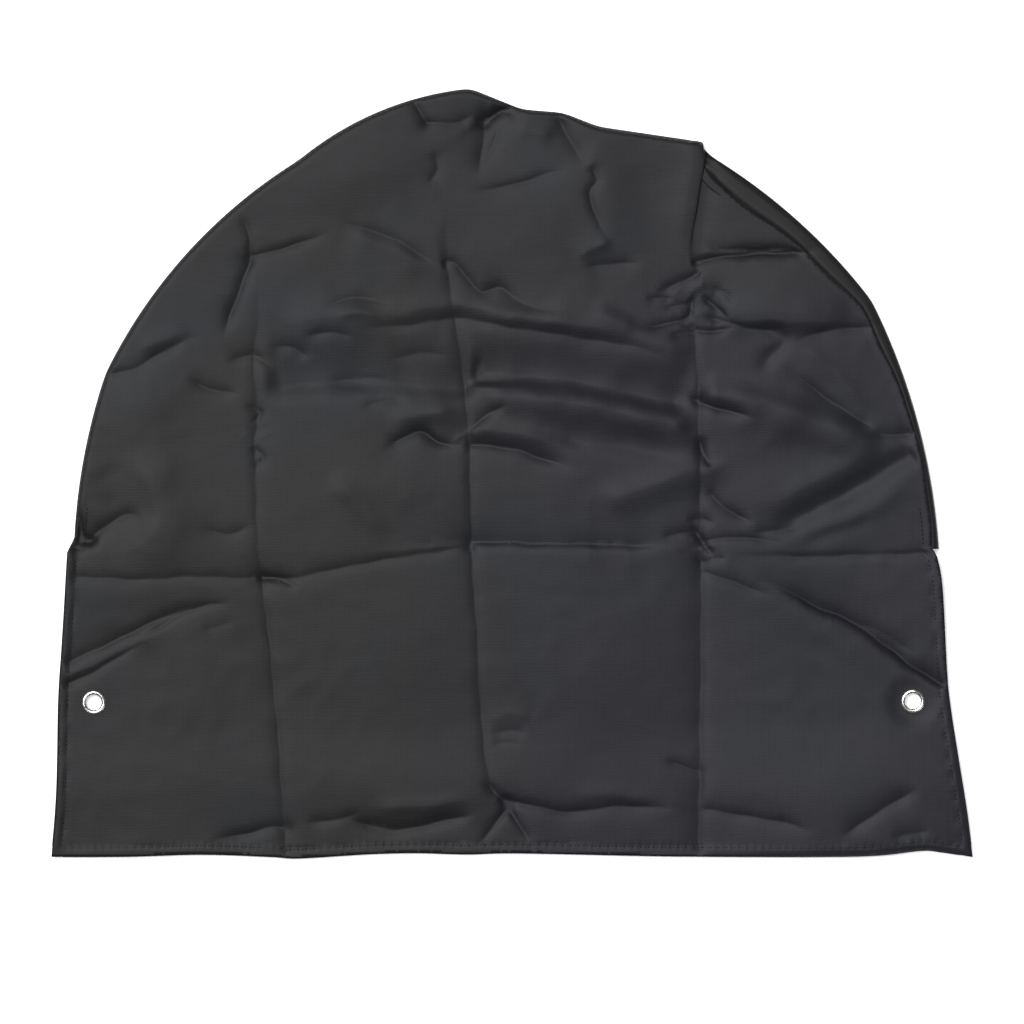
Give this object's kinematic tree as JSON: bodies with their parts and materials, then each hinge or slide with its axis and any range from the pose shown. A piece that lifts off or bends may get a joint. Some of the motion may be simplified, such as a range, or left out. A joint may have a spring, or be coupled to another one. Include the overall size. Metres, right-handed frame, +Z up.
{
  "type": "spare tire cover",
  "caption": "D-shaped woven polyester wheel cover for a caravan or RV, lying flat, with a hemmed skirt, side eyelets and an elasticated rear mouth.",
  "frame": {"origin": "middle of the footprint of the cover as it lies face up, on the surface that it lies on", "axes": "+X to the right along the bottom hem, +Y from the bottom hem to the crown of the arch, +Z up, out of the face"},
  "size_m": [0.725, 0.605, 0.0098],
  "materials": {
    "cloth": "satin woven polyester, black to charcoal",
    "thread": "black twisted polyester thread",
    "elastic": "black braided elastic",
    "nickel": "bright nickel plate"
  },
  "bodies": {
    "cover": {"front_panel": "cloth", "tread_band": "cloth", "rear_casing": "cloth", "rear_elastic": "elastic", "casing_thread": "thread", "arch_seam_allowance": "cloth", "arch_seam_thread": "thread", "band_end_hem_left": "cloth", "band_end_hem_right": "cloth", "band_end_thread_left": "thread", "band_end_thread_right": "thread", "elastic_tack_left": "thread", "elastic_tack_right": "thread", "corner_tack_left": "thread", "corner_tack_right": "thread"},
    "skirt": {"skirt_panel": "cloth", "bottom_hem": "cloth", "left_hem": "cloth", "right_hem": "cloth", "bottom_hem_thread": "thread", "left_hem_thread": "thread", "right_hem_thread": "thread", "eyelet_left": "nickel", "eyelet_right": "nickel", "eyelet_washer_left": "nickel", "eyelet_washer_right": "nickel"}
  },
  "joints": [
    {"name": "skirt_fold", "type": "hinge", "parent": "cover", "child": "skirt", "pos_m": [0, -0.062, 0.0095], "axis": [-1, 0, 0], "range_deg": [0, 175]}
  ]
}
